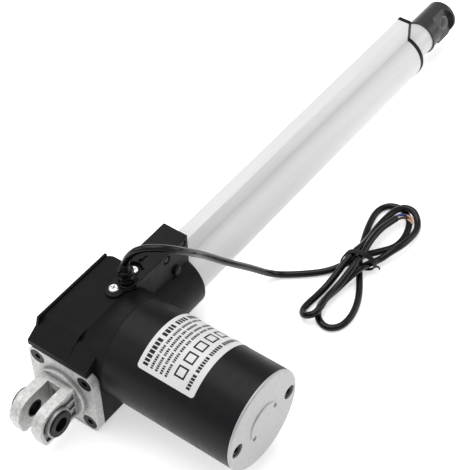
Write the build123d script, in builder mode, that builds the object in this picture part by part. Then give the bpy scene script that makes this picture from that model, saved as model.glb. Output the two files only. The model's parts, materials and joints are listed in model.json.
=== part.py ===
from build123d import *
import math
import os

# Linear actuator: worm-geared brushed motor across the rear of a lead screw.
# Origin at the centre of the rear clevis pin hole. +X runs along the tube towards
# the rod end, +Z is the side with the cable gland, the motor points to -Y.
# Everything is in millimetres.

os.makedirs("parts", exist_ok=True)

# ---- driving dimensions ----------------------------------------------------
stroke = 300.0
hole_to_hole = stroke + 160.0  # fully retracted
pin_r = 5.0

flange_side = 51.0
flange_rear_x = 21.0
flange_t = 6.0
flange_screw_offset = 18.7
housing_rear_x = flange_rear_x + flange_t
housing_front_x = 98.0
panel_z = 39.5

screw_r = 6.0  # lead screw, drawn as a plain bar at its outer diameter, and its journals
wheel_teeth = 20

motor_x = 61.0
motor_z = 20.2  # worm centre distance
motor_r = 33.3
motor_front_y = -27.0
motor_back_y = -122.5
motor_bolt_end_y = -21.5
bolt_places = ((25.8, 0), (-25.8, 0))  # the two long bolts, beside the motor axis

tube_r = 18.0
tube_bore_r = 15.6
fin_half_width = 5.0
fin_top_z = 33.0
tube_start_x = 80.0
tube_end_x = 409.5
rod_r = 12.5
rod_bore_r = 9.5
rod_end_x = 436.0
eye_turn = 20.0  # the rod end's pin axis stands turned this far about the rod

running = 0.04  # radial clearance of a running fit
cable_d = 4.8
rest_z = -flange_side / 2  # the surface the actuator and its cable lie on


# ---- planes and shared shapes -----------------------------------------------
def across(x):
    """Plane square to the tube axis at x, extruding towards +X; local x is Y, local y is Z."""
    return Plane.YZ.offset(x)


def side(y):
    """Plane square to Y at y, extruding towards -Y; local x is X, local y is Z."""
    return Plane.XZ.offset(-y)


def motor(y):
    """Plane square to the motor axis at y, centred on that axis, extruding towards -Y."""
    return Plane(origin=(motor_x, y, motor_z), x_dir=(1, 0, 0), z_dir=(0, -1, 0))


def disc(plane, radius, length, mode=Mode.ADD):
    """Round bar of the part being built, starting on the plane."""
    with BuildSketch(plane) as section:
        Circle(radius)
    extrude(section.sketch, amount=length, mode=mode)


def ring(plane, outer, inner, length, mode=Mode.ADD):
    """Round tube of the part being built, starting on the plane."""
    with BuildSketch(plane) as section:
        Circle(outer)
        Circle(inner, mode=Mode.SUBTRACT)
    extrude(section.sketch, amount=length, mode=mode)


def save(built, name):
    """Label a finished part and write its STEP file."""
    built.part.label = name
    export_step(built.part, f"parts/{name}.step")


# ---- rear clevis and flange, one casting -------------------------------------
ear_outer_y = 12.6
ear_inner_y = 5.0
ear_half_height = 12.5
ear_tip_x = -14.5
boss_face_x = 18.0
boss_y = 14.9
boss_r = 10.0
bush_r = 6.0
bearing_od_r = 14.0
bearing_w = 8.0
rear_bearing_x = 28.0
cavity_r = 17.5
recess_r = 5.5
shank_r = 2.5


def ear_outline():
    """Side view of an ear, as edges: round over the top, nearly square at the lower rear corner."""
    with BuildLine() as outline:
        Line((boss_face_x + 1, ear_half_height), (-2, ear_half_height))
        RadiusArc((-2, ear_half_height), (ear_tip_x, 0), -ear_half_height)
        Line((ear_tip_x, 0), (ear_tip_x + 2, -ear_half_height + 2))
        Line((ear_tip_x + 2, -ear_half_height + 2), (ear_tip_x + 4.5, -ear_half_height))
        Line((ear_tip_x + 4.5, -ear_half_height), (boss_face_x + 1, -ear_half_height))
        Line((boss_face_x + 1, -ear_half_height), (boss_face_x + 1, ear_half_height))
    return outline.edges()


ear_rim = 2.4
pocket_depth = 1.6
with BuildPart() as rear_clevis:
    with BuildSketch(across(flange_rear_x)):
        RectangleRounded(flange_side, flange_side, 6)
    extrude(amount=flange_t)
    disc(across(boss_face_x), 18, flange_rear_x - boss_face_x)
    fillet(rear_clevis.faces().sort_by(Axis.X)[0].edges(), 1.2)
    with BuildSketch(Plane.XZ):
        make_face(ear_outline())
    extrude(amount=ear_outer_y, both=True)
    for face_y in (-ear_outer_y, ear_outer_y - pocket_depth):
        with BuildSketch(side(face_y + pocket_depth)):
            make_face(ear_outline())
            offset(amount=-ear_rim, kind=Kind.INTERSECTION)
        extrude(amount=pocket_depth, mode=Mode.SUBTRACT)
    # pin boss, and two ribs from it to the root, on both outer faces
    for near in (-boss_y, ear_outer_y - pocket_depth - 1):
        depth = boss_y - ear_outer_y + pocket_depth + 1
        with BuildSketch(side(near + depth)):
            Circle(boss_r)
        extrude(amount=depth)
    for near in (-ear_outer_y + 0.3, ear_outer_y - pocket_depth - 1):
        depth = pocket_depth + 0.7
        with BuildSketch(side(near + depth)):
            with Locations((12, 3.6), (12, -3.6)):
                Rectangle(12, 1.8)
            with Locations((2, 10.4)):
                Rectangle(8, 2)
        extrude(amount=depth)
    # gap between the ears, with a step at its closed end
    slot_end_x = 14.0
    with BuildSketch(side(ear_inner_y)):
        with Locations((slot_end_x / 2 - 10, 0)):
            Rectangle(slot_end_x + 20, 2 * flange_side)
    extrude(amount=2 * ear_inner_y, mode=Mode.SUBTRACT)
    with BuildSketch(side(ear_inner_y - 1.5)):
        with Locations((slot_end_x, 0)):
            Rectangle(5, 14)
    extrude(amount=2 * ear_inner_y - 3, mode=Mode.SUBTRACT)
    with BuildSketch(side(boss_y + 1)):
        Circle(bush_r)
    extrude(amount=2 * boss_y + 2, mode=Mode.SUBTRACT)
    # screw recesses and clearance holes
    for recess, depth in ((recess_r, 4), (shank_r + 0.25, flange_t)):
        with BuildSketch(across(flange_rear_x)):
            with GridLocations(2 * flange_screw_offset, 2 * flange_screw_offset, 2, 2):
                Circle(recess)
        extrude(amount=depth, mode=Mode.SUBTRACT)
    # spigot that centres the housing and holds the rear bearing
    ring(across(housing_rear_x), cavity_r - 0.1, bearing_od_r, 9)
save(rear_clevis, "rear_clevis")

# two flanged bushes, pressed in the ears from outside
bush_flange_r = 8.8
bush_flange_t = 1.4
with BuildPart() as clevis_bushes:
    for start in (boss_y, -ear_inner_y):
        ring(side(start), bush_r, pin_r, boss_y - ear_inner_y)
    for start in (boss_y + bush_flange_t, -boss_y):
        ring(side(start), bush_flange_r, pin_r, bush_flange_t)
save(clevis_bushes, "clevis_bushes")

# four cap screws through the flange into the housing
head_r = 5.3
head_x = flange_rear_x + 0.2
with BuildPart() as flange_screws:
    for plane, radius, length in (
        (across(head_x), head_r, 3.2),
        (across(flange_rear_x + 4), shank_r, 14),
    ):
        with BuildSketch(plane):
            with GridLocations(2 * flange_screw_offset, 2 * flange_screw_offset, 2, 2):
                Circle(radius)
        extrude(amount=length)
    with BuildSketch(across(head_x)):
        with GridLocations(2 * flange_screw_offset, 2 * flange_screw_offset, 2, 2):
            RegularPolygon(2.3, 6)
    extrude(amount=2, mode=Mode.SUBTRACT)
save(flange_screws, "flange_screws")

# ---- gearbox housing ------------------------------------------------------------
strip_z = 25.6  # the housing laps over the flange's top edge above this height
crease_y = -5.0  # right-hand edge of the flat top panel
collar_y = -26.0
worm_cavity_r = 9.0
worm_bush_y = 12.0
gear_cavity_end_x = 69.0
front_bearing_x = 70.0
gland_x, gland_y = 85.0, -1.5
gland_screw_r = 1.5
gland_screw_places = ((75.5, 1.0), (94.2, 0.6))
plate_end_r = 5.7  # round ends of the gland plate, and the disc round the cable in its middle
plate_disc_r = 6.9
shoulder_x = 84.4  # from here forwards the housing and the switch cover carry on beside the plate
shoulder_y = -9.6


def gland_outline(clearance=0.0):
    """Outline of the gland plate in plan, added to the sketch being built."""
    (x_a, y_a), (x_b, y_b) = gland_screw_places
    with Locations(((x_a + x_b) / 2, (y_a + y_b) / 2)):
        turn = math.degrees(math.atan2(y_b - y_a, x_b - x_a))
        SlotCenterToCenter(math.dist(*gland_screw_places), 2 * (plate_end_r + clearance), rotation=turn)
    with Locations((gland_x, gland_y)):
        Circle(plate_disc_r + clearance)


with BuildPart() as gearbox_housing:
    # lower block, as wide as the flange
    with BuildSketch(across(housing_rear_x)):
        RectangleRounded(flange_side, flange_side, 6)
    extrude(amount=housing_front_x - housing_rear_x)
    # top half that carries the flat panel: lapped rear edge, two slopes, rounded front
    with BuildSketch(side(flange_side / 2)):
        with BuildLine():
            Polyline(
                (housing_front_x, 10),
                (flange_rear_x + 9, 10),
                (flange_rear_x + 9, strip_z),
                (flange_rear_x + 0.5, strip_z),
                (flange_rear_x + 0.5, strip_z + 4),
                (flange_rear_x + 9, strip_z + 9.6),
                (flange_rear_x + 15.5, panel_z),
                (housing_front_x, panel_z),
                close=True,
            )
        make_face()
    extrude(amount=flange_side / 2 - crease_y)
    front_corner = gearbox_housing.edges().filter_by(Axis.Z).group_by(Axis.X)[-1].sort_by(Axis.Y)[-1]
    fillet(front_corner, 7)
    # rear slope carried on towards the motor
    with BuildSketch(side(crease_y)):
        with BuildLine():
            Polyline(
                (motor_x, 10),
                (flange_rear_x + 9, 10),
                (flange_rear_x + 9, strip_z),
                (flange_rear_x + 0.5, strip_z),
                (flange_rear_x + 0.5, strip_z + 4),
                (flange_rear_x + 12, strip_z + 11),
                (motor_x, strip_z + 11),
                close=True,
            )
        make_face()
    extrude(amount=16)
    # shoulder beside the gland plate, under the rear tongue of the switch cover
    with BuildSketch(Plane.XY.offset(10)):
        with Locations(((shoulder_x + housing_front_x) / 2, (shoulder_y + crease_y) / 2)):
            Rectangle(housing_front_x - shoulder_x, crease_y - shoulder_y)
    extrude(amount=panel_z - 10)
    # square-to-round collar that grows into the motor's circle
    with BuildSketch(side(crease_y)):
        with Locations((62.2, 9.5)):
            RectangleRounded(70, 60, 19)
    with BuildSketch(motor(collar_y)):
        Circle(motor_r)
    loft()
    disc(motor(collar_y), motor_r, collar_y - motor_front_y)
    # raised lip along the far side of the panel
    lip_t = 1.6
    with BuildSketch(side(flange_side / 2)):
        with BuildLine():
            Polyline(
                (flange_rear_x + 9, strip_z + 9.6),
                (flange_rear_x + 11, panel_z + 1.5),
                (housing_front_x - 2, panel_z + 1.5),
                (housing_front_x - 2, panel_z - 3),
                (flange_rear_x + 11, panel_z - 3),
                close=True,
            )
        make_face()
    extrude(amount=lip_t)
    # cavities for the worm wheel, the bearings, the tube and the worm
    disc(across(housing_rear_x), cavity_r, gear_cavity_end_x - housing_rear_x, mode=Mode.SUBTRACT)
    disc(across(gear_cavity_end_x), bearing_od_r, bearing_w + 1, mode=Mode.SUBTRACT)
    disc(across(gear_cavity_end_x), 7, 20, mode=Mode.SUBTRACT)
    with BuildSketch(across(tube_start_x)):
        Circle(tube_r)
        with Locations((0, fin_top_z / 2)):
            Rectangle(2 * fin_half_width, fin_top_z)
    extrude(amount=30, mode=Mode.SUBTRACT)
    disc(motor(worm_bush_y), worm_cavity_r, worm_bush_y - motor_front_y + 5, mode=Mode.SUBTRACT)
    disc(motor(worm_bush_y + 6), 8, 10, mode=Mode.SUBTRACT)
    # tapped holes for the flange screws, the motor bolts and the gland plate, and the wire hole
    with BuildSketch(across(housing_rear_x)):
        with GridLocations(2 * flange_screw_offset, 2 * flange_screw_offset, 2, 2):
            Circle(shank_r)
    extrude(amount=13, mode=Mode.SUBTRACT)
    with BuildSketch(motor(motor_bolt_end_y + 0.2)):
        with Locations(*bolt_places):
            Circle(shank_r)
    extrude(amount=10, mode=Mode.SUBTRACT)
    with BuildSketch(Plane.XY.offset(panel_z - 5)):
        with Locations(*gland_screw_places):
            Circle(gland_screw_r)
    extrude(amount=20, mode=Mode.SUBTRACT)
    with BuildSketch(Plane.XY.offset(panel_z)):
        gland_outline(0.3)
    extrude(amount=20, mode=Mode.SUBTRACT)
    with BuildSketch(Plane.XY.offset(fin_top_z - 2)):
        with Locations((gland_x, gland_y)):
            Circle(3)
    extrude(amount=20, mode=Mode.SUBTRACT)
save(gearbox_housing, "gearbox_housing")

# ---- cable outlet: plate, two screws and a ribbed strain relief ------------------
gland_plate_t = 1.8
gland_plate_top = panel_z + gland_plate_t
strain_top_z = 58.0
with BuildPart() as gland_plate:
    with BuildSketch(Plane.XY.offset(panel_z)):
        gland_outline()
        with Locations(*gland_screw_places):
            Circle(gland_screw_r, mode=Mode.SUBTRACT)
    extrude(amount=gland_plate_t)
    fillet(gland_plate.faces().sort_by(Axis.Z)[-1].outer_wire().edges(), 0.6)
save(gland_plate, "gland_plate")

with BuildPart() as strain_relief:
    with BuildSketch(Plane.XZ):
        with BuildLine():
            rib_r, groove_r, rib_h, groove_h = 5.6, 4.3, 2.3, 1.3
            z = gland_plate_top
            points = [(0, z), (rib_r + 0.6, z), (rib_r + 0.6, z + 1.2)]
            z += 1.2
            for i in range(3):
                shrink = 0.25 * i
                points += [
                    (groove_r - shrink, z),
                    (groove_r - shrink, z + groove_h),
                    (rib_r - shrink, z + groove_h),
                    (rib_r - shrink - 0.3, z + groove_h + rib_h),
                ]
                z += groove_h + rib_h
            points += [(groove_r - 0.5, z), (3.0, strain_top_z), (0, strain_top_z)]
            Polyline(*points, close=True)
        make_face()
    revolve(axis=Axis.Z)
strain_relief.part = strain_relief.part.moved(Location((gland_x, gland_y, 0)))
save(strain_relief, "strain_relief")

with BuildPart() as gland_screws:
    for plane, radius, length in (
        (Plane.XY.offset(gland_plate_top), 3.3, 2.2),
        (Plane.XY.offset(gland_plate_top - 6), gland_screw_r, 6),
    ):
        with BuildSketch(plane):
            with Locations(*gland_screw_places):
                Circle(radius)
        extrude(amount=length)
    top_edges = gland_screws.edges().group_by(Axis.Z)[-1]
    fillet(top_edges, 1.1)
    with BuildSketch(Plane.XY.offset(gland_plate_top + 1)):
        for place, turn in zip(gland_screw_places, (20, 55)):
            with Locations(place):
                Rectangle(3.4, 0.8, rotation=turn)
                Rectangle(3.4, 0.8, rotation=turn + 90)
    extrude(amount=3, mode=Mode.SUBTRACT)
save(gland_screws, "gland_screws")

# ---- outer tube: round extrusion with a channel fin for the limit switches ----------
channel_half_width = 3.5
channel_z = (18.8, 31.0)
slit_half_width = 2.0
with BuildPart() as outer_tube:
    with BuildSketch(across(tube_start_x)):
        Circle(tube_r)
        with Locations((0, fin_top_z / 2)):
            RectangleRounded(2 * fin_half_width, fin_top_z, 0.7)
        Circle(tube_bore_r, mode=Mode.SUBTRACT)
        with Locations((0, sum(channel_z) / 2)):
            Rectangle(2 * channel_half_width, channel_z[1] - channel_z[0], mode=Mode.SUBTRACT)
        with Locations((0, 17)):
            Rectangle(2 * slit_half_width, 6, mode=Mode.SUBTRACT)
    extrude(amount=tube_end_x - tube_start_x)
save(outer_tube, "outer_tube")

# ---- sleeve round the root of the tube, and the cover over the switches -------------
cover_end_x = 136.0
cover_half_width = 9.6
cover_top_z = 44.3
sleeve_r = 22.2
wall = 2.0
cover_hollow_x = 104.0  # the solid before it takes the recess round the gland plate
with BuildPart() as tube_sleeve:
    with BuildSketch(across(housing_front_x)):
        Circle(sleeve_r)
        Circle(tube_r, mode=Mode.SUBTRACT)
        with Locations((0, sleeve_r)):
            Rectangle(2 * fin_half_width, 2 * sleeve_r - 20, mode=Mode.SUBTRACT)
    extrude(amount=cover_end_x - housing_front_x)
    front_rim = tube_sleeve.faces().sort_by(Axis.X)[-1].edges().filter_by(
        lambda e: e.geom_type == GeomType.CIRCLE and e.radius > tube_r + 1
    )
    chamfer(front_rim, 0.8)
save(tube_sleeve, "tube_sleeve")

side_screws = ((114.5, 39.6), (130.5, 40.2))  # x, z of the self-tappers in the cover's sides
side_recess = 1.3
keyhole_depth = 1.6
knob_x, knob_z = 122.0, 24.0
with BuildPart() as switch_cover:
    with BuildSketch(across(housing_front_x)):
        with Locations((0, cover_top_z - 15)):
            Rectangle(2 * cover_half_width, 30)
    extrude(amount=cover_end_x - housing_front_x)
    # tongue that reaches back beside the gland plate, on the housing's shoulder
    with BuildSketch(Plane.XY.offset(panel_z)):
        with Locations(((shoulder_x + housing_front_x) / 2, shoulder_y / 2 + crease_y / 2)):
            Rectangle(housing_front_x - shoulder_x, crease_y - shoulder_y)
    extrude(amount=cover_top_z - panel_z)
    top_edges = switch_cover.faces().sort_by(Axis.Z)[-1].edges().filter_by(Axis.X)
    fillet(top_edges, 0.8)
    chamfer(switch_cover.faces().sort_by(Axis.X)[-1].edges().sort_by(Axis.Z)[-1], 0.6)
    disc(across(housing_front_x), sleeve_r, cover_end_x - housing_front_x, mode=Mode.SUBTRACT)
    # hollow inside, between a rear and a front wall that fit round the fin
    with BuildSketch(across(cover_hollow_x)):
        with Locations((0, cover_top_z - wall - 15)):
            Rectangle(2 * (cover_half_width - wall), 30)
    extrude(amount=cover_end_x - wall - cover_hollow_x, mode=Mode.SUBTRACT)
    with BuildSketch(across(housing_front_x)):
        with Locations((0, fin_top_z / 2)):
            Rectangle(2 * fin_half_width, fin_top_z)
    extrude(amount=cover_end_x - housing_front_x, mode=Mode.SUBTRACT)
    # rear edge cut round the gland plate
    with BuildSketch(Plane.XY.offset(panel_z - 0.4)):
        gland_outline(0.15)
    extrude(amount=10, mode=Mode.SUBTRACT)
    # screw recesses in both sides, pilot holes, and a test slot on top
    for face_y in (-cover_half_width, cover_half_width - side_recess):
        with BuildSketch(side(face_y + side_recess)):
            with Locations(*side_screws):
                Circle(3.1)
        extrude(amount=side_recess, mode=Mode.SUBTRACT)
    with BuildSketch(side(cover_half_width)):
        with Locations(*side_screws, (knob_x, knob_z)):
            Circle(1.4)
    extrude(amount=2 * cover_half_width, mode=Mode.SUBTRACT)
    with BuildSketch(Plane.XY.offset(cover_top_z - keyhole_depth)):
        with Locations((101.9, 0.8)):
            Circle(1.5)
        with Locations((104.9, 0.4)):
            Rectangle(5, 1.0, rotation=-7)
    extrude(amount=keyhole_depth, mode=Mode.SUBTRACT)
save(switch_cover, "switch_cover")

with BuildPart() as cover_screws:
    for sign in (-1, 1):
        face = sign * cover_half_width
        for (x, z), head_radius, sunk, proud in (
            (side_screws[0], 2.0, side_recess, -0.3),
            (side_screws[1], 2.0, side_recess, -0.3),
            ((knob_x, knob_z), 3.6, 0.0, 2.6),
        ):
            low = face - sunk if sign > 0 else face - proud
            with BuildSketch(side(low + sunk + proud)):
                with Locations((x, z)):
                    Circle(head_radius)
            extrude(amount=sunk + proud)
            shank_from = face - sign * sunk
            with BuildSketch(side(max(shank_from, shank_from - sign * 1.2))):
                with Locations((x, z)):
                    Circle(1.4)
            extrude(amount=1.2)
    for end_face in (
        cover_screws.faces().sort_by(Axis.Y)[0],
        cover_screws.faces().sort_by(Axis.Y)[-1],
    ):
        fillet(end_face.edges(), 1.4)
save(cover_screws, "cover_screws")

# ---- front end of the tube ----------------------------------------------------------
cap_t = 3.3
bush_x = 399.5
seal_x = 405.0
with BuildPart() as tube_end_cap:
    with BuildSketch(across(tube_end_x)):
        Circle(tube_r + 0.3)
        with Locations((0, fin_top_z / 2)):
            RectangleRounded(2 * fin_half_width + 0.6, fin_top_z + 0.6, 0.9)
        Circle(rod_r + 0.3, mode=Mode.SUBTRACT)
    extrude(amount=cap_t)
    with BuildSketch(across(tube_end_x - 3)):
        with Locations((0, sum(channel_z) / 2)):
            Rectangle(2 * channel_half_width - 0.2, channel_z[1] - channel_z[0] - 0.2)
    extrude(amount=3)
save(tube_end_cap, "tube_end_cap")

with BuildPart() as guide_bush:
    ring(across(bush_x), tube_bore_r, rod_r + running, seal_x - bush_x)
save(guide_bush, "guide_bush")

with BuildPart() as wiper_seal:
    ring(across(seal_x), tube_bore_r, rod_r + running, tube_end_x - seal_x)
save(wiper_seal, "wiper_seal")

# ---- rod: nut, inner tube and rod end -------------------------------------------------
nut_x = 84.0
nut_collar_t = 8.0
inner_tube_x = nut_x + nut_collar_t
cam_top_z = 20.4
with BuildPart() as drive_nut:
    ring(across(nut_x), tube_bore_r - 0.15, screw_r + running, nut_collar_t)
    ring(across(inner_tube_x), rod_bore_r, screw_r + running, 14)
    with BuildSketch(across(nut_x)):
        with Locations((0, (14 + cam_top_z) / 2)):
            Rectangle(2 * slit_half_width - 1, cam_top_z - 14)
    extrude(amount=nut_collar_t)
save(drive_nut, "drive_nut")

with BuildPart() as inner_tube:
    ring(across(inner_tube_x), rod_r, rod_bore_r, rod_end_x - inner_tube_x)
save(inner_tube, "inner_tube")

rod_end_r = 12.8
rod_end_tip_x = 470.6
rod_end_lip_r = 13.7
rod_end_lip_t = 1.5
flat_offset = 8.5
pad_from_x, pad_to_x = 447.5, 467.5


def eye_plane(turn):
    """Plane through the rod axis, normal to the pin axis of an eye turned by this many degrees."""
    tilt = math.radians(turn)
    return Plane(origin=(0, 0, 0), x_dir=(1, 0, 0), z_dir=(0, -math.cos(tilt), math.sin(tilt)))


with BuildPart() as rod_end:
    disc(across(rod_end_x), rod_end_r, rod_end_tip_x - rod_end_x)
    fillet(rod_end.faces().sort_by(Axis.X)[-1].edges(), 1.6)
    disc(across(rod_end_x), rod_end_lip_r, rod_end_lip_t)
    disc(across(rod_end_x - 15), rod_bore_r, 15)
    # two flat pads round the pin hole: lower than the bar in the middle, and the front one
    # proud of it at its edges
    for turn, pad_half_height in ((eye_turn, 10.9), (eye_turn + 180, 9.4)):
        for height, depth, mode in ((0, flat_offset, Mode.ADD), (flat_offset, 10, Mode.SUBTRACT)):
            with BuildSketch(eye_plane(turn).offset(height)) as pad:
                with Locations(((pad_from_x + pad_to_x) / 2, 0)):
                    Rectangle(pad_to_x - pad_from_x, 2 * pad_half_height)
                fillet(pad.vertices().sort_by(Axis.X)[-2:], 7.5)
            extrude(amount=depth, mode=mode)
    with BuildSketch(eye_plane(eye_turn).offset(-20)):
        with Locations((hole_to_hole, 0)):
            Circle(pin_r)
    extrude(amount=40, mode=Mode.SUBTRACT)
save(rod_end, "rod_end")

# ---- lead screw, its bearings and the worm wheel ----------------------------------------
screw_start_x = rear_bearing_x
screw_end_x = 411.0
with BuildPart() as lead_screw:
    disc(across(screw_start_x), screw_r, screw_end_x - screw_start_x)
save(lead_screw, "lead_screw")

with BuildPart() as screw_end_collar:
    ring(across(406.8), rod_bore_r - 0.2, screw_r, 3.5)
save(screw_end_collar, "screw_end_collar")

wheel_x, wheel_w = 55.0, 12.0
wheel_tip_r, wheel_root_r = 14.9, 12.4
with BuildPart() as worm_wheel:
    ring(across(wheel_x), wheel_root_r, screw_r, wheel_w)
    with BuildSketch(across(wheel_x)):
        with PolarLocations(0, wheel_teeth):
            with BuildLine():
                Polyline(
                    (wheel_root_r - 1, -1.3),
                    (wheel_tip_r - 0.05, -0.7),
                    (wheel_tip_r - 0.05, 0.7),
                    (wheel_root_r - 1, 1.3),
                    close=True,
                )
            make_face()
    extrude(amount=wheel_w)
save(worm_wheel, "worm_wheel")

with BuildPart() as screw_spacer:
    ring(across(rear_bearing_x + bearing_w + 0.2), screw_r + 2, screw_r, wheel_x - rear_bearing_x - bearing_w - 0.2)
    ring(across(wheel_x + wheel_w), screw_r + 2, screw_r, front_bearing_x - wheel_x - wheel_w - 0.2)
save(screw_spacer, "screw_spacers")

with BuildPart() as screw_bearings:
    for x in (rear_bearing_x, front_bearing_x):
        ring(across(x), bearing_od_r, screw_r + running, bearing_w)
        # shield grooves on both faces
        for face_x in (x, x + bearing_w - 0.6):
            ring(across(face_x), bearing_od_r - 2.2, screw_r + 2.2, 0.6, mode=Mode.SUBTRACT)
save(screw_bearings, "screw_bearings")

# ---- limit switches in the fin's channel ---------------------------------------------------
board_z = 28.4
with BuildPart() as limit_switch_board:
    with BuildSketch(across(84)):
        with Locations((0, board_z + 0.8)):
            Rectangle(6, 1.6)
    extrude(amount=316)
save(limit_switch_board, "limit_switch_board")

with BuildPart() as limit_switches:
    for x in (85.5, 384.5):
        with BuildSketch(across(x)):
            with Locations((0, (board_z + cam_top_z + 1.2) / 2)):
                Rectangle(5.6, board_z - cam_top_z - 1.2)
        extrude(amount=12)
save(limit_switches, "limit_switches")

# ---- motor: can, end cap, front plate, bolts ------------------------------------------------
can_t = 2.0
can_back_y = -120.8
cap_inner_y = -116.5  # inner face of the end cap, which plugs the can
shaft_r = 4.0
motor_bearing_r = 11.0
motor_bearing_w = 7.0
with BuildPart() as motor_can:
    ring(motor(motor_front_y), motor_r, motor_r - can_t, motor_front_y - can_back_y)
save(motor_can, "motor_can")

with BuildPart() as motor_front_plate:
    disc(motor(motor_front_y - 0.2), motor_r - can_t, 4)
    disc(motor(motor_front_y - 4), 13, 5)
    disc(motor(motor_front_y), 5, 10, mode=Mode.SUBTRACT)
    disc(motor(motor_front_y - 2), motor_bearing_r, motor_bearing_w, mode=Mode.SUBTRACT)
    with BuildSketch(motor(motor_front_y)):
        with Locations(*bolt_places):
            Circle(shank_r)
    extrude(amount=6, mode=Mode.SUBTRACT)
save(motor_front_plate, "motor_front_plate")

with BuildPart() as motor_end_cap:
    disc(motor(can_back_y), motor_r, can_back_y - motor_back_y)
    fillet(motor_end_cap.faces().sort_by(Axis.Y)[0].edges(), 1.2)
    disc(motor(cap_inner_y), motor_r - can_t, cap_inner_y - can_back_y)
    ring(motor(cap_inner_y + 3.5), motor_r - can_t, motor_r - can_t - 2, 3.5)
    ring(motor(cap_inner_y + 5.5), 13, motor_bearing_r, 5.5)
    disc(motor(cap_inner_y), motor_bearing_r, 3, mode=Mode.SUBTRACT)
    # raised bearing boss with two dimples
    disc(motor(motor_back_y), 13, 0.9)
    fillet(motor_end_cap.faces().sort_by(Axis.Y)[0].edges(), 0.8)
    with BuildSketch(motor(motor_back_y)):
        with Locations((-10.5, -5.2), (10.5, 5.2)):
            Circle(2)
    extrude(amount=1, mode=Mode.SUBTRACT)
    with BuildSketch(motor(motor_back_y + 3.5)):
        with Locations(*bolt_places):
            Circle(4.8)
    extrude(amount=6, mode=Mode.SUBTRACT)
    with BuildSketch(motor(cap_inner_y + 1)):
        with Locations(*bolt_places):
            Circle(shank_r)
    extrude(amount=8, mode=Mode.SUBTRACT)
save(motor_end_cap, "motor_end_cap")

with BuildPart() as motor_bolts:
    with BuildSketch(motor(motor_bolt_end_y)):
        with Locations(*bolt_places):
            Circle(shank_r - 0.02)
    extrude(amount=motor_bolt_end_y - motor_back_y - 3.5)
    with BuildSketch(motor(motor_back_y + 3.5)):
        with Locations(*bolt_places):
            Circle(4.5)
    extrude(amount=2.4)
    with BuildSketch(motor(motor_back_y + 2.6)):
        with Locations(*bolt_places):
            RegularPolygon(2.2, 6)
    extrude(amount=3, mode=Mode.SUBTRACT)
save(motor_bolts, "motor_bolts")

with BuildPart() as motor_bearings:
    for y in (motor_front_y - 2, cap_inner_y + 4):
        ring(motor(y), motor_bearing_r, shaft_r + running, motor_bearing_w)
save(motor_bearings, "motor_bearings")

with BuildPart() as worm_end_bush:
    ring(motor(worm_bush_y + 6), 8, shaft_r + running, 6)
save(worm_end_bush, "worm_end_bush")

# two curved magnets, above and below the rotor, clear of the bolts
magnet_y, magnet_l = -46.0, 50.0
armature_r = 21.5
with BuildPart() as motor_magnets:
    ring(motor(magnet_y), motor_r - can_t, armature_r + 0.8, magnet_l)
    with BuildSketch(motor(magnet_y)):
        Rectangle(80, 26)
    extrude(amount=magnet_l, mode=Mode.SUBTRACT)
save(motor_magnets, "motor_magnets")

# ---- rotor ---------------------------------------------------------------------------------------
core_y, core_l = -50.0, 42.0
slots = 12
with BuildPart() as worm_shaft:
    disc(motor(17), shaft_r, 136)
    disc(motor(9), motor_z - wheel_tip_r - 0.1, 18)
save(worm_shaft, "worm_shaft")

with BuildPart() as armature_core:
    ring(motor(core_y), armature_r, shaft_r, core_l)
    with BuildSketch(motor(core_y)):
        with PolarLocations(16, slots):
            SlotOverall(6, 3.4)
        with PolarLocations(armature_r, slots):
            Rectangle(6, 1.4)
    extrude(amount=core_l, mode=Mode.SUBTRACT)
save(armature_core, "armature_core")

with BuildPart() as armature_windings:
    for y in (core_y + 8, core_y - core_l):
        ring(motor(y), 19.5, 9, 8)
        end_face = armature_windings.faces().sort_by(Axis.Y)[-1 if y > core_y else 0]
        fillet(end_face.edges().sort_by(SortBy.RADIUS)[-1], 3)
    with BuildSketch(motor(core_y)):
        with PolarLocations(16, slots):
            SlotOverall(5.6, 3)
    extrude(amount=core_l)
save(armature_windings, "armature_windings")

commutator_y, commutator_l = -100.5, 8.0
commutator_r = 9.5
with BuildPart() as commutator:
    ring(motor(commutator_y), commutator_r, shaft_r, commutator_l)
    with BuildSketch(motor(commutator_y)):
        with PolarLocations(commutator_r, slots):
            Rectangle(2, 0.5)
    extrude(amount=commutator_l, mode=Mode.SUBTRACT)
save(commutator, "commutator")

brush_w, brush_t, brush_l = 6.0, 5.0, 9.0
brush_y = commutator_y - 1.2
brush_from_r = commutator_r + running
with BuildPart() as brushes:
    with BuildSketch(motor(brush_y)):
        with Locations((0, brush_from_r + brush_l / 2), (0, -brush_from_r - brush_l / 2)):
            Rectangle(brush_w, brush_l)
    extrude(amount=brush_t)
save(brushes, "brushes")

with BuildPart() as brush_card:
    ring(motor(commutator_y - commutator_l), motor_r - can_t, 14, 1.8)
    with BuildSketch(motor(brush_y + 0.8)):
        for sign in (-1, 1):
            with Locations((0, sign * (brush_from_r + brush_l / 2 + 2.5))):
                Rectangle(brush_w + 2, brush_l + 1)
                Rectangle(brush_w, brush_l + 1, mode=Mode.SUBTRACT)
    extrude(amount=brush_y + 0.8 - commutator_y + commutator_l)
    with BuildSketch(motor(commutator_y)):
        with Locations(*bolt_places):
            Circle(3)
    extrude(amount=20, mode=Mode.SUBTRACT)
save(brush_card, "brush_card")

# curved label wrapped on the can
label_t = 0.2
label_y = (-49.0, -90.4)
label_from, label_to = 25.0, 137.0
with BuildPart() as motor_label:
    with BuildSketch(motor(label_y[0])):
        with BuildLine():
            outer = CenterArc((0, 0), motor_r + label_t, label_from, label_to - label_from)
            inner = CenterArc((0, 0), motor_r, label_from, label_to - label_from)
            Line(outer @ 0, inner @ 0)
            Line(outer @ 1, inner @ 1)
        make_face()
    extrude(amount=label_y[0] - label_y[1])
save(motor_label, "motor_label")

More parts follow.
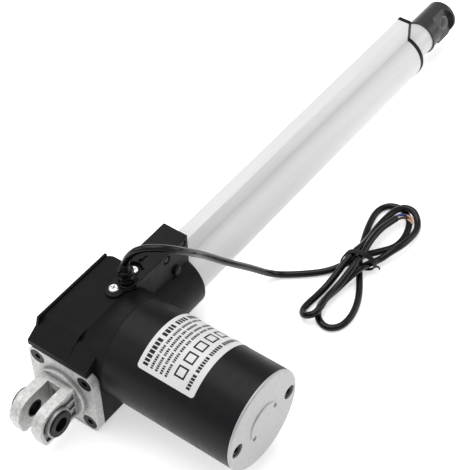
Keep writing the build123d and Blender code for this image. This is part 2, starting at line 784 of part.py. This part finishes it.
# ---- power cable: free stretch, then a hank held by a tie, all lying at rest_z -----------------
cable_route = [
    (gland_x, gland_y, strain_top_z),
    (86, -3.6, 65.2),
    (89, -11.6, 74.6),
    (96.6, -24.4, 76),
    (109, -31, 66),
    (128, -28, 44.5),
    (148, -30.5, 21),
    (170, -33, -2.5),
    (188.5, -38, rest_z + cable_d / 2),
    (199, -52.5, rest_z + cable_d / 2),
    (212, -66.5, rest_z + cable_d / 2),
    (224, -74, -21),
]


def route_radii(points):
    """Corner radii as large as the two runs at each corner allow."""
    vectors = [Vector(*p) for p in points]
    radii = []
    for before, here, after in zip(vectors, vectors[1:], vectors[2:]):
        arriving, leaving = here - before, after - here
        half_turn = math.radians(arriving.get_angle(leaving)) / 2
        radii.append(0.45 * min(arriving.length, leaving.length) / math.tan(half_turn))
    return radii


cable_radii = route_radii(cable_route)
print("cable radii", [round(r, 1) for r in cable_radii])
with BuildPart() as power_cable:
    with BuildLine() as path:
        FilletPolyline(*cable_route, radius=cable_radii)
    centre_line = path.wires()[0]
    with BuildSketch(Plane(centre_line @ 0, z_dir=centre_line % 0)):
        Circle(cable_d / 2)
    sweep(path=centre_line)
print("cable length", centre_line.length)
print("section times length", math.pi * (cable_d / 2) ** 2 * centre_line.length)
print("cable volume", power_cable.part.volume)
save(power_cable, "power_cable")

# outline of the tied hank: two lobes and a straight-sided waist where the tie sits
hank_top_z = -10.5
waist_x = (226.0, 236.0)
waist_y = (-91.0, -72.5)
hank_outline = [
    (waist_x[0], waist_y[1]),
    (waist_x[1], waist_y[1]),
    (258, -65),
    (279, -60.5),
    (290, -62.5),
    (294.5, -72),
    (294, -88),
    (287, -97),
    (270, -101),
    (254, -99.5),
    (waist_x[1], waist_y[0]),
    (waist_x[0], waist_y[0]),
    (209, -98.5),
    (196, -103.5),
    (182, -104.5),
    (172, -102.5),
    (166.5, -94),
    (166, -76),
    (172, -69.5),
    (200, -70.5),
]
with BuildPart() as cable_hank:
    with BuildSketch(Plane.XY.offset(rest_z)):
        with BuildLine():
            Polyline(*hank_outline, close=True)
        make_face()
    extrude(amount=hank_top_z - rest_z)
    chamfer(cable_hank.faces().sort_by(Axis.Z)[-1].edges(), 1.5)
save(cable_hank, "cable_hank")

tie_t = 1.2
with BuildPart() as cable_tie:
    with BuildSketch(across(waist_x[0] + 3)):
        with Locations((sum(waist_y) / 2, (rest_z + hank_top_z + tie_t) / 2)):
            Rectangle(waist_y[1] - waist_y[0] + 2 * tie_t, hank_top_z + tie_t - rest_z)
    extrude(amount=3.5)
    with BuildSketch(across(waist_x[0])):
        with Locations((sum(waist_y) / 2, (rest_z + hank_top_z) / 2)):
            Rectangle(waist_y[1] - waist_y[0], hank_top_z - rest_z)
    extrude(amount=10, mode=Mode.SUBTRACT)
save(cable_tie, "cable_tie")
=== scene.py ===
"""Looks of a linear actuator: materials, power cable, tie, label, floor, light and camera.

Everything is in metres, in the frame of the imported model: +X along the tube, +Z up,
the motor towards -Y, the origin at the rear clevis pin.
"""

import json
import math
import random

import bmesh
import bpy
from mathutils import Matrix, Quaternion, Vector


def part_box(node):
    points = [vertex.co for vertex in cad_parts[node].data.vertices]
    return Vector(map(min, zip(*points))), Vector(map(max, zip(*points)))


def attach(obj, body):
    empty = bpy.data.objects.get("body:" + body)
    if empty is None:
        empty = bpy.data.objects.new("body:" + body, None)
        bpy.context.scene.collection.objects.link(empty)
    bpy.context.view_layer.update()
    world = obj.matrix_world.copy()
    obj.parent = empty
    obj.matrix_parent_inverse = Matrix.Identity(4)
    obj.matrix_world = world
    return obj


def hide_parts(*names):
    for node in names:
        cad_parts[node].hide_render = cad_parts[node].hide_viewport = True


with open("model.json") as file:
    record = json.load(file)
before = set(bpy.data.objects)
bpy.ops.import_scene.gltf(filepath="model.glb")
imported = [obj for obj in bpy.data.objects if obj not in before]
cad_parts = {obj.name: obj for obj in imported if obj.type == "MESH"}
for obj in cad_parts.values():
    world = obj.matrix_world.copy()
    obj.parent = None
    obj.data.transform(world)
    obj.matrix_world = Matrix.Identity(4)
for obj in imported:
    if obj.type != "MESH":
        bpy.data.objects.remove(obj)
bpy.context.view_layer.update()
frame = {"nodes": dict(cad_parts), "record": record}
nodes = frame["nodes"]
scene = bpy.context.scene

# ---- driving places, from the frame --------------------------------------------------
can_low, can_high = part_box("motor_can")
strain_low, strain_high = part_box("strain_relief")
hank_low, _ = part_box("cable_hank")
floor_z = hank_low.z
motor_x = (can_low.x + can_high.x) / 2
motor_z = (can_low.z + can_high.z) / 2
motor_r = (can_high.x - can_low.x) / 2
cable_d = 0.0048
HOUSING = "housing"


# ---- material helpers --------------------------------------------------------------------
def new_material(name, colour, roughness, metallic=0.0, specular=0.5, coat=0.0):
    """A material with its even values set on the shader."""
    material = bpy.data.materials.new(name)
    material.use_nodes = True
    shader = material.node_tree.nodes["Principled BSDF"]
    shader.inputs["Base Color"].default_value = (*colour, 1)
    shader.inputs["Roughness"].default_value = roughness
    shader.inputs["Metallic"].default_value = metallic
    shader.inputs["Specular IOR Level"].default_value = specular
    shader.inputs["Coat Weight"].default_value = coat
    shader.inputs["Coat Roughness"].default_value = 0.12
    return material


class Graph:
    """Shorthand for wiring a material's node tree, in object coordinates."""

    def __init__(self, material):
        self.tree = material.node_tree
        self.shader = self.tree.nodes["Principled BSDF"]
        self.place = self.tree.nodes.new("ShaderNodeTexCoord").outputs["Object"]

    def node(self, kind, **settings):
        made = self.tree.nodes.new(kind)
        for key, value in settings.items():
            setattr(made, key, value)
        return made

    def link(self, output, target):
        self.tree.links.new(output, target)

    def stretched(self, scale):
        """Object coordinates scaled differently along each axis, for brushed or drawn grain."""
        mapping = self.node("ShaderNodeMapping")
        mapping.inputs["Scale"].default_value = scale
        self.link(self.place, mapping.inputs["Vector"])
        return mapping.outputs["Vector"]

    def noise(self, size, detail=4.0, roughness=0.55, vector=None):
        """Noise whose blotches are about size metres across."""
        noise = self.node("ShaderNodeTexNoise")
        noise.inputs["Scale"].default_value = 1.0 / size
        noise.inputs["Detail"].default_value = detail
        noise.inputs["Roughness"].default_value = roughness
        self.link(vector or self.place, noise.inputs["Vector"])
        return noise.outputs["Fac"]

    def ramp(self, value, stops):
        """Colour ramp through (position, colour) stops."""
        ramp = self.node("ShaderNodeValToRGB")
        elements = ramp.color_ramp.elements
        while len(elements) < len(stops):
            elements.new(0.5)
        for element, (position, colour) in zip(elements, stops):
            element.position = position
            element.color = (*colour, 1)
        self.link(value, ramp.inputs["Fac"])
        return ramp.outputs["Color"]

    def between(self, value, low, high, start=0.3, end=0.7):
        """Value mapped from start..end to low..high."""
        mapped = self.node("ShaderNodeMapRange")
        limits = {"From Min": start, "From Max": end, "To Min": low, "To Max": high}
        for key, number in limits.items():
            mapped.inputs[key].default_value = number
        self.link(value, mapped.inputs["Value"])
        return mapped.outputs["Result"]

    def colour(self, value, dark, light, start=0.35, end=0.65):
        """Base colour from dark to light as value goes from start to end."""
        self.link(self.ramp(value, [(start, dark), (end, light)]), self.shader.inputs["Base Color"])

    def colour_with_painted_shade(self, value, dark, light, start, end, reach):
        """Colour as in colour(), with painted shade: darkened by ambient occlusion in corners and
        recesses up to reach metres deep.
        """
        # painted shade: ambient occlusion darkens the base colour where shade falls
        shade = self.node("ShaderNodeAmbientOcclusion")
        shade.inputs["Distance"].default_value = reach
        self.link(self.ramp(value, [(start, dark), (end, light)]), shade.inputs["Color"])
        self.link(shade.outputs["Color"], self.shader.inputs["Base Color"])

    def roughness(self, value, low, high):
        """Roughness from low to high with value."""
        self.link(self.between(value, low, high), self.shader.inputs["Roughness"])

    def soft_edges(self, radius):
        """Normal that rounds sharp edges off by that radius, so that they catch the light."""
        bevel = self.node("ShaderNodeBevel")
        bevel.inputs["Radius"].default_value = radius
        return bevel.outputs["Normal"]

    def bump(self, value, depth, normal=None):
        """Relief of that depth in metres; returns its normal, which another bump may start from."""
        bump = self.node("ShaderNodeBump")
        bump.inputs["Distance"].default_value = depth
        self.link(value, bump.inputs["Height"])
        if normal:
            self.link(normal, bump.inputs["Normal"])
        self.link(bump.outputs["Normal"], self.shader.inputs["Normal"])
        return bump.outputs["Normal"]


def tinted(colour, factor):
    """Colour made lighter or darker by factor."""
    return tuple(min(1.0, part * factor) for part in colour)


def coated(name, colour, roughness, grain, grain_depth, patch=0.02, vary=0.12, edge=0.0003, **finish):
    """Painted, moulded or blasted surface: blotchy colour and gloss over an even fine grain."""
    material = new_material(name, colour, roughness, **finish)
    graph = Graph(material)
    blotches = graph.noise(patch, detail=5)
    graph.colour(blotches, tinted(colour, 1 - vary), tinted(colour, 1 + vary))
    graph.roughness(graph.noise(patch * 0.4), roughness - 0.06, roughness + 0.06)
    graph.bump(graph.noise(grain, detail=3, roughness=0.6), grain_depth, graph.soft_edges(edge))
    return material


# ---- materials, one for each slot of the record ------------------------------------------
def cast_aluminium():
    """Sand-cast and blasted: pale, mottled, with pits."""
    material = new_material("cast_aluminium", (0.55, 0.545, 0.54), 0.52, metallic=0.7)
    graph = Graph(material)
    mottle = graph.noise(0.0022, detail=8, roughness=0.75)
    # painted shade: the mottled colour is darkened in corners and recesses up to 5 mm deep
    graph.colour_with_painted_shade(mottle, (0.44, 0.435, 0.43), (0.66, 0.655, 0.65), 0.36, 0.62, reach=0.005)
    graph.roughness(graph.noise(0.002), 0.45, 0.62)
    coarse = graph.bump(graph.noise(0.0022, detail=3), 0.00007, graph.soft_edges(0.0005))
    graph.bump(graph.noise(0.00055, detail=2), 0.00004, coarse)
    return material


def end_cap_aluminium():
    """Die-cast and tumbled: an even satin grey."""
    material = new_material("end_cap_aluminium", (0.46, 0.46, 0.46), 0.5, metallic=0.5)
    graph = Graph(material)
    mottle = graph.noise(0.003, detail=6, roughness=0.7)
    graph.colour(mottle, (0.43, 0.43, 0.43), (0.50, 0.50, 0.50))
    graph.roughness(graph.noise(0.0015), 0.42, 0.56)
    graph.bump(graph.noise(0.0006, detail=3), 0.00002, graph.soft_edges(0.0005))
    return material


def rod_end_coated():
    """Black coated bar end with its pin hole reamed to bare metal."""
    bare, coating = (0.32, 0.32, 0.325), (0.022, 0.022, 0.023)
    material = new_material("rod_end_coated", coating, 0.36, specular=0.5)
    graph = Graph(material)
    pin = next(mount for mount in frame["record"]["mounts"] if mount["name"] == "rod_pin")
    # distance from the pin's axis: the length of (place - pin) x axis
    offset = graph.node("ShaderNodeVectorMath", operation="SUBTRACT")
    graph.link(graph.place, offset.inputs[0])
    offset.inputs[1].default_value = pin["pos_m"]
    moment = graph.node("ShaderNodeVectorMath", operation="CROSS_PRODUCT")
    graph.link(offset.outputs["Vector"], moment.inputs[0])
    moment.inputs[1].default_value = pin["axis"]
    distance = graph.node("ShaderNodeVectorMath", operation="LENGTH")
    graph.link(moment.outputs["Vector"], distance.inputs[0])
    hole_r = pin["dims"]["r_mm"] / 1000
    outside = graph.between(distance.outputs["Value"], 0, 1, hole_r + 0.0001, hole_r + 0.0003)
    graph.colour(outside, bare, coating)
    graph.bump(graph.noise(0.0005, detail=3), 0.00003, graph.soft_edges(0.0005))
    return material


def can_black():
    """Satin paint on a drawn steel can: faint rings round it and slow changes of gloss."""
    material = new_material("can_black", (0.006, 0.006, 0.006), 0.36, specular=0.16)
    graph = Graph(material)
    graph.colour(graph.noise(0.05), (0.0072, 0.006, 0.0056), (0.0054, 0.0054, 0.007))
    rings = graph.noise(0.002, detail=2, vector=graph.stretched((0.08, 1, 0.08)))
    graph.roughness(rings, 0.32, 0.42)
    graph.bump(graph.noise(0.0006, detail=2), 0.000006, graph.soft_edges(0.0004))
    return material


def drawn_aluminium(name, colour, metallic, roughness):
    """Satin extrusion or drawn tube with fine die lines along X."""
    material = new_material(name, colour, roughness, metallic=metallic)
    graph = Graph(material)
    lines = graph.noise(0.0007, detail=2, vector=graph.stretched((0.01, 1, 1)))
    graph.colour(lines, tinted(colour, 0.97), tinted(colour, 1.03))
    graph.roughness(lines, roughness - 0.04, roughness + 0.05)
    graph.bump(lines, 0.000002, graph.soft_edges(0.0004))
    return material


def steel(name="steel", colour=(0.56, 0.56, 0.58), roughness=0.28):
    """Turned steel: fine marks round the screw axis."""
    material = new_material(name, colour, roughness, metallic=1.0)
    graph = Graph(material)
    marks = graph.noise(0.0006, detail=3, vector=graph.stretched((1, 0.15, 0.15)))
    graph.colour(marks, tinted(colour, 0.85), tinted(colour, 1.12))
    graph.roughness(marks, roughness - 0.06, roughness + 0.1)
    graph.bump(marks, 0.000008)
    return material


builders = {
    "cast_aluminium": cast_aluminium,
    "housing_black": lambda: coated(
        "housing_black", (0.0044, 0.0044, 0.0052), 0.5, 0.0010, 0.00014,
        patch=0.03, specular=0.13, edge=0.0004,
    ),
    "plastic_black": lambda: coated(
        "plastic_black", (0.0058, 0.0058, 0.0072), 0.46, 0.0008, 0.00008,
        specular=0.17, edge=0.0004,
    ),
    "tube_aluminium": lambda: drawn_aluminium("tube_aluminium", (0.70, 0.70, 0.705), 0.05, 0.5),
    "rod_silver": lambda: drawn_aluminium("rod_silver", (0.64, 0.64, 0.65), 0.15, 0.42),
    "can_black": can_black,
    "screw_black": lambda: coated(
        "screw_black", (0.006, 0.0055, 0.0055), 0.42, 0.0006, 0.00003, vary=0.3, specular=0.2
    ),
    "zinc": lambda: coated("zinc", (0.80, 0.80, 0.79), 0.22, 0.001, 0.00001, metallic=0.9, vary=0.06),
    "rubber_black": lambda: coated(
        "rubber_black", (0.0045, 0.0045, 0.005), 0.34, 0.0004, 0.00001, specular=0.25
    ),
    "bush_black": lambda: coated(
        "bush_black", (0.006, 0.006, 0.0065), 0.42, 0.0004, 0.00001, specular=0.2
    ),
    "steel": steel,
    "bronze": lambda: steel("bronze", (0.62, 0.40, 0.16), 0.34),
    "copper": lambda: steel("copper", (0.78, 0.52, 0.40), 0.34),
    "magnet": lambda: coated("magnet", (0.05, 0.05, 0.055), 0.6, 0.0004, 0.00003),
    "carbon": lambda: coated("carbon", (0.03, 0.03, 0.03), 0.6, 0.0003, 0.00002),
    "board_green": lambda: coated("board_green", (0.03, 0.16, 0.06), 0.35, 0.0008, 0.00001),
    "label_white": lambda: coated("label_white", (0.66, 0.66, 0.67), 0.4, 0.0005, 0.000004, vary=0.03),
    "cable_black": lambda: coated(
        "cable_black", (0.003, 0.003, 0.0032), 0.19, 0.0015, 0.00001, specular=0.28
    ),
    "nut_white": lambda: coated("nut_white", (0.78, 0.76, 0.70), 0.45, 0.0005, 0.00001, vary=0.05),
}
materials = {slot: build() for slot, build in builders.items()}

for part in frame["record"]["subparts"]:
    mesh = nodes[part["node"]].data
    mesh.materials.clear()
    mesh.materials.append(materials[part["material_slot"]])
nodes["motor_end_cap"].data.materials[0] = end_cap_aluminium()
nodes["rod_end"].data.materials[0] = rod_end_coated()


# ---- pieces made here ------------------------------------------------------------------------
def new_object(name, data):
    """Visible piece that rides on the housing."""
    made = bpy.data.objects.new(name, data)
    scene.collection.objects.link(made)
    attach(made, HOUSING)
    return made


def smooth_curve(name, points, diameter, slot, material=None):
    """Round cord along a NURBS spline with those control points."""
    curve = bpy.data.curves.new(name, "CURVE")
    curve.dimensions = "3D"
    curve.bevel_depth = diameter / 2
    curve.bevel_resolution = 5
    curve.resolution_u = 10
    curve.use_fill_caps = True
    spline = curve.splines.new("NURBS")
    spline.points.add(len(points) - 1)
    for control, point in zip(spline.points, points):
        control.co = (*point, 1)
    spline.order_u = 3
    spline.use_endpoint_u = True
    curve.materials.append(material or materials[slot])
    return new_object(name, curve)


# heights of the cable's centreline in the hank: on the floor, on one strand, on two
low = floor_z + cable_d / 2
mid = low + 0.0049
top = low + 0.0102
# The free stretch, with the same points as the CAD tube. They were first placed by a scratch
# optimiser on positions picked in the photograph, rounded, and then moved by hand.
cable_route = [
    (0.085, -0.0015, 0.058),
    (0.086, -0.0036, 0.0652),
    (0.089, -0.0116, 0.0746),
    (0.0966, -0.0244, 0.076),
    (0.109, -0.031, 0.066),
    (0.128, -0.028, 0.0445),
    (0.148, -0.0305, 0.021),
    (0.170, -0.033, -0.0025),
    (0.1885, -0.038, low),
    (0.199, -0.0525, low),
    (0.212, -0.0665, low),
    (0.224, -0.074, -0.021),
]
# The hank is a list and not a loop, because its lobes all differ. Its points were measured from
# the photograph with a scratch script, rounded, and then moved by hand.
# through the tie, round the right-hand lobe and back to the tie
first_lobe = [
    (0.234, -0.0805, -0.0176),
    (0.245, -0.0865, -0.020),
    (0.2565, -0.0915, low),
    (0.266, -0.093, low),
    (0.276, -0.091, low),
    (0.285, -0.087, low),
    (0.291, -0.0795, low),
    (0.2915, -0.072, low),
    (0.288, -0.066, low),
    (0.280, -0.063, low),
    (0.268, -0.065, low),
    (0.254, -0.0695, low),
    (0.241, -0.075, low),
    (0.229, -0.081, low),
]
# the wide loop on the left
left_loop = [
    (0.219, -0.088, low),
    (0.209, -0.0945, low),
    (0.198, -0.0995, low),
    (0.186, -0.102, low),
    (0.176, -0.1005, low),
    (0.1705, -0.094, low),
    (0.173, -0.0855, low),
    (0.181, -0.080, low),
    (0.1905, -0.079, low),
    (0.2015, -0.0805, low),
    (0.2125, -0.083, -0.0195),
    (0.222, -0.0855, -0.017),
    (0.231, -0.088, mid),
]
# a second, wider turn round the right-hand lobe, partly on the first
second_lobe = [
    (0.240, -0.091, -0.0205),
    (0.248, -0.094, mid),
    (0.2575, -0.097, mid),
    (0.2675, -0.098, -0.019),
    (0.278, -0.097, -0.021),
    (0.286, -0.093, -0.021),
    (0.2905, -0.087, mid),
    (0.2905, -0.080, mid),
    (0.285, -0.076, mid),
    (0.277, -0.0745, mid),
    (0.267, -0.074, mid),
    (0.2565, -0.0745, mid),
    (0.243, -0.0765, -0.016),
    (0.231, -0.076, -0.0135),
]
# the narrow fold on the left, which comes back on top of its own first half
narrow_fold = [
    (0.2205, -0.0755, -0.0145),
    (0.210, -0.0745, -0.020),
    (0.200, -0.0735, low),
    (0.190, -0.073, low),
    (0.181, -0.072, low),
    (0.1735, -0.0725, -0.0225),
    (0.1685, -0.077, -0.020),
    (0.1705, -0.0835, -0.0165),
    (0.178, -0.084, -0.0158),
    (0.186, -0.082, -0.017),
    (0.195, -0.082, -0.0175),
    (0.205, -0.0825, -0.0165),
    (0.218, -0.083, -0.013),
    (0.232, -0.0818, top),
]
# back round the right-hand lobe to the cut end
cable_tail = [
    (0.246, -0.0793, -0.0133),
    (0.258, -0.0788, -0.0138),
    (0.268, -0.0795, -0.0155),
    (0.2765, -0.0805, -0.0175),
]
cable = smooth_curve(
    "power_cable_and_hank",
    cable_route + first_lobe + left_loop + second_lobe + narrow_fold + cable_tail,
    cable_d,
    "cable_black",
)
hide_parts("power_cable", "cable_hank")

# two insulated wires come out of the jacket and curve round inside the lobe to bare copper tips
wire_d = 0.0019
strand_d = 0.00045
# each wire's colour, and how far it lies to one side of the pair's middle
wire_looks = {
    "wire_blue": ((0.014, 0.04, 0.20), 0.0010),
    "wire_brown": ((0.07, 0.028, 0.015), -0.0010),
}
wire_route = [
    (0.2745, -0.0801, -0.0170),
    (0.2785, -0.0808, -0.0175),
    (0.2822, -0.0828, -0.0184),
    (0.2840, -0.0852, -0.0192),
]
strand_route = [
    (0.2836, -0.0846, -0.0191),
    (0.2846, -0.0872, -0.0198),
    (0.2842, -0.0905, -0.0210),
]
strand_spread = (0.0003, 0.0006, 0.0014)  # distance from the bundle's middle at each point
strand_count = 6
for name, (colour, aside) in wire_looks.items():
    insulation = coated(name, colour, 0.32, 0.001, 0.000005, coat=0.2)
    route = [(x + aside * 0.3, y + aside, z + aside * 0.6) for x, y, z in wire_route]
    smooth_curve(name, route, wire_d, "cable_black", insulation)
    for strand in range(strand_count):
        turned = 2 * math.pi * strand / strand_count
        lean = Vector((math.cos(turned), 0.4 * math.sin(turned), 0.7 * math.sin(turned)))
        start = Vector((aside * 0.9, aside * 0.4, aside * 0.6))
        points = [
            Vector(point) + start + lean * spread
            for point, spread in zip(strand_route, strand_spread)
        ]
        smooth_curve(f"{name}_strand_{strand + 1}", points, strand_d, "copper")

# ---- ribbed boot where the cable leaves the housing --------------------------------------
boot_x, boot_y = (strain_low.x + strain_high.x) / 2, (strain_low.y + strain_high.y) / 2
boot_sides = 48


def ring_at(mesh, height, radius, angles):
    """Ring or arc of vertices about the boot's axis."""
    z = strain_low.z + height
    return [
        mesh.verts.new((boot_x + radius * math.cos(a), boot_y + radius * math.sin(a), z))
        for a in angles
    ]


def boot_core(mesh, profile):
    """Turned core through (height, radius) pairs, closed at both ends."""
    angles = [2 * math.pi * i / boot_sides for i in range(boot_sides)]
    rings = [ring_at(mesh, height, radius, angles) for height, radius in profile]
    for lower, upper in zip(rings, rings[1:]):
        for i in range(boot_sides):
            j = (i + 1) % boot_sides
            mesh.faces.new((lower[i], lower[j], upper[j], upper[i]))
    mesh.faces.new(list(reversed(rings[0])))
    mesh.faces.new(rings[-1])


def boot_rib(mesh, bottom, top, inner_r, outer_r, start, sweep):
    """Part of a rib: a block bent round the core, a little narrower at its top."""
    steps = max(2, round(boot_sides * sweep / (2 * math.pi)))
    angles = [start + sweep * i / steps for i in range(steps + 1)]
    section = (
        (bottom, inner_r),
        (bottom, outer_r),
        (top, outer_r - 0.0002),
        (top, inner_r),
    )
    corners = [ring_at(mesh, height, radius, angles) for height, radius in section]
    for k, line in enumerate(corners):
        following = corners[(k + 1) % 4]
        for i in range(steps):
            mesh.faces.new((line[i], line[i + 1], following[i + 1], following[i]))
    mesh.faces.new([line[0] for line in corners])
    mesh.faces.new([line[-1] for line in reversed(corners)])


boot_h = strain_high.z - strain_low.z
foot_r, foot_h = (strain_high.x - strain_low.x) / 2, 0.0012
rib_h, groove_h, rib_count = 0.0023, 0.0013, 3
rib_inner_r = 0.0034  # where the ribs meet the core
rib_block = math.radians(68)  # each of a rib's four blocks
almost_round = math.radians(359.9)  # a full turn whose two end faces stay apart
boot_mesh = bmesh.new()
boot_core(
    boot_mesh,
    (
        (0, foot_r),
        (foot_h * 0.7, foot_r),
        (foot_h, foot_r - 0.0004),
        (foot_h, 0.0043),
        (boot_h * 0.72, 0.0037),
        (boot_h * 0.9, 0.0032),
        (boot_h, 0.0029),
    ),
)
for level in range(rib_count):
    rib_bottom = foot_h + groove_h + level * (rib_h + groove_h)
    rib_r = foot_r - 0.0006 - 0.00025 * level
    rib_top = rib_bottom + rib_h
    for quarter in range(4):
        rib_start = quarter * math.pi / 2 + level * math.pi / 4
        boot_rib(boot_mesh, rib_bottom, rib_top, rib_inner_r, rib_r, rib_start, rib_block)
    # the ring that joins a rib's four blocks
    ring_top = rib_bottom + rib_h * 0.45
    boot_rib(boot_mesh, rib_bottom, ring_top, rib_inner_r, rib_r - 0.0005, 0, almost_round)
bmesh.ops.recalc_face_normals(boot_mesh, faces=boot_mesh.faces)
boot_data = bpy.data.meshes.new("strain_relief_boot")
boot_mesh.to_mesh(boot_data)
boot_mesh.free()
boot_data.materials.append(materials["rubber_black"])
boot = new_object("strain_relief_boot", boot_data)
rounding = boot.modifiers.new("rounding", "BEVEL")
rounding.width = 0.00025
rounding.segments = 2
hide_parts("strain_relief")


# ---- wire tie round the hank's waist ---------------------------------------------------
tie_low, tie_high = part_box("cable_tie")
tie_d = 0.0013
tie_turns = 2.55
tie_steps = 10  # control points in each turn
tie_half_y = (tie_high.y - tie_low.y) / 2 + 0.0002
tie_half_z = (tie_high.z - tie_low.z) / 2 - 0.0004
tie_middle = Vector((0.2275, (tie_low.y + tie_high.y) / 2, floor_z + tie_half_z + tie_d / 2))
tie_pitch = 0.0013  # how far it moves along the hank in each turn
tie_lean = 0.0016  # how far each turn leans along the hank
swell = 1 / math.cos(math.pi / tie_steps)  # a spline cuts inside its control points
tie_start = [(0.2215, -0.0712, -0.0218), (0.2232, -0.0698, -0.0206)]
tie_end = [(0.2328, -0.0932, -0.0194), (0.2338, -0.0942, -0.0210), (0.2342, -0.0944, -0.0228)]
tie_points = list(tie_start)
for step in range(round(tie_turns * tie_steps) + 1):
    turned = 2 * math.pi * step / tie_steps
    along = tie_pitch * step / tie_steps - tie_lean * math.cos(turned)
    across = tie_half_y * swell * math.cos(turned)
    up = tie_half_z * math.sin(turned)
    tie_points.append(tuple(tie_middle + Vector((along, across, up))))
tie_points += tie_end
tie = smooth_curve("wire_tie", tie_points, tie_d, "plastic_black", materials["rubber_black"])
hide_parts("cable_tie")


# ---- rating label, curved round the can -------------------------------------------------
label_low, label_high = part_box("motor_label")
label_from, label_to = math.radians(25), math.radians(137)
label_lift = 0.00016
label_corner = 0.0021


def on_can(run, y, lift):
    """Point on the can, run metres round it from the label's upper left end, lifted off it."""
    angle = label_to - run / motor_r
    radius = motor_r + lift
    return Vector((motor_x + radius * math.cos(angle), y, motor_z + radius * math.sin(angle)))


def wrapped_patch(mesh, run, y, lift, corner=0.0, material=0):
    """Patch bent round the can, between two distances round it and two y, with round corners."""
    (run_a, run_b), (y_a, y_b) = run, y
    corner_steps = 6 if corner else 0
    rounds = [corner * (1 - math.cos(math.pi / 2 * i / corner_steps)) for i in range(corner_steps)]
    middle_steps = max(1, round((run_b - run_a) / 0.0015))
    straight = run_b - run_a - 2 * corner
    places = rounds + [corner + straight * i / middle_steps for i in range(middle_steps + 1)]
    places += [run_b - run_a - near for near in reversed(rounds)]
    columns = []
    for place in places:
        near = corner - min(place, run_b - run_a - place, corner)
        inset = corner - math.sqrt(max(0.0, corner**2 - near**2))
        ends = (y_a + inset, y_b - inset)
        columns.append([mesh.verts.new(on_can(run_a + place, y_end, lift)) for y_end in ends])
    for left, right in zip(columns, columns[1:]):
        face = mesh.faces.new((left[0], left[1], right[1], right[0]))
        face.material_index = material
        face.smooth = True


label_run = (label_to - label_from) * motor_r
label_mesh = bmesh.new()
wrapped_patch(label_mesh, (0, label_run), (label_low.y, label_high.y), label_lift, label_corner)
# plain blocks where print would be: each row's start from the label's front edge, its height,
# the width of its blocks, and the share of the row that it fills
draw = random.Random(5)
print_lift = label_lift + 0.00005
margin = 0.0032
for start, height, width, filled in (
    (0.0028, 0.0036, 0.0021, 0.97),
    (0.0084, 0.0017, 0.0011, 0.92),
    (0.0119, 0.0017, 0.0011, 0.75),
    (0.0154, 0.0017, 0.0011, 0.90),
    (0.0189, 0.0017, 0.0011, 0.86),
    (0.0345, 0.0026, 0.0015, 0.93),
):
    at = margin
    rows = (label_high.y - start - height, label_high.y - start)
    while at < label_run * filled - margin:
        for _ in range(draw.randint(3, 7)):
            end = at + width * draw.uniform(0.7, 1.1)
            if end > label_run - margin:
                break
            wrapped_patch(label_mesh, (at, end), rows, print_lift, material=1)
            at = end + width * 0.35
        at += width * 0.8
# a row of plain outlined boxes
box_side, box_line, box_start = 0.0072, 0.0011, 0.0238
for at in (0.0065, 0.0165, 0.0265, 0.0365, 0.0465):
    top_y = label_high.y - box_start
    bottom_y = top_y - box_side
    for run, y in (
        ((at, at + box_side), (bottom_y, bottom_y + box_line)),
        ((at, at + box_side), (top_y - box_line, top_y)),
        ((at, at + box_line), (bottom_y + box_line, top_y - box_line)),
        ((at + box_side - box_line, at + box_side), (bottom_y + box_line, top_y - box_line)),
    ):
        wrapped_patch(label_mesh, run, y, print_lift, material=1)
label_data = bpy.data.meshes.new("rating_label")
label_mesh.to_mesh(label_data)
label_mesh.free()
label_data.materials.append(materials["label_white"])
print_black = coated("print_black", (0.012, 0.012, 0.013), 0.5, 0.0005, 0.000004, specular=0.2)
label_data.materials.append(print_black)
label = new_object("rating_label", label_data)
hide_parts("motor_label")

# ---- floor, light and camera ----------------------------------------------------------------------
floor_mesh = bpy.data.meshes.new("floor")
floor_half = 6.0
floor_mesh.from_pydata(
    [(x * floor_half, y * floor_half, floor_z) for x, y in ((-1, -1), (1, -1), (1, 1), (-1, 1))],
    [],
    [(0, 1, 2, 3)],
)
floor = bpy.data.objects.new("floor", floor_mesh)
scene.collection.objects.link(floor)
floor_material = new_material("floor_white", (0.93, 0.93, 0.93), 0.8, specular=0.1)
floor_shader = floor_material.node_tree.nodes["Principled BSDF"]
floor_shader.inputs["Emission Color"].default_value = (1, 1, 1, 1)
floor_shader.inputs["Emission Strength"].default_value = 0.5
floor_mesh.materials.append(floor_material)

world = bpy.data.worlds.new("studio")
scene.world = world
world.use_nodes = True
background = world.node_tree.nodes["Background"]
background.inputs["Color"].default_value = (1, 1, 1, 1)
background.inputs["Strength"].default_value = 0.5


def softbox(name, place, target, size, power):
    """Rectangular area light at place, facing target."""
    light = bpy.data.lights.new(name, "AREA")
    light.shape = "RECTANGLE"
    light.size, light.size_y = size
    light.energy = power
    made = bpy.data.objects.new(name, light)
    made.location = place
    made.rotation_euler = (Vector(target) - Vector(place)).to_track_quat("-Z", "Y").to_euler()
    scene.collection.objects.link(made)


middle = (0.2, -0.02, 0.0)
softbox("overhead", (0.25, 0.25, 1.3), middle, (1.4, 1.1), 12)
softbox("left_fill", (-0.6, 0.9, 0.7), middle, (0.9, 0.7), 3.5)
softbox("right_fill", (1.1, -0.8, 0.6), middle, (0.8, 0.6), 3)
scene.view_settings.view_transform = "Standard"

# the photograph's viewing angle, from a fit of the object's edges in it
camera_place = Vector((-0.3348, -0.4141, 0.6996))
camera_target = Vector((0.1851, -0.0093, 0.0015))
camera_roll = math.radians(-1.95)
camera_lens_mm, camera_sensor_mm = 109.3, 36
camera_data = bpy.data.cameras.new("camera")
camera_data.lens = camera_lens_mm
camera_data.sensor_width = camera_sensor_mm
camera = bpy.data.objects.new("camera", camera_data)
camera.location = camera_place
level = (camera_target - camera_place).to_track_quat("-Z", "Y")
camera.rotation_euler = (level @ Quaternion((0, 0, 1), camera_roll)).to_euler()
scene.collection.objects.link(camera)
scene.camera = camera
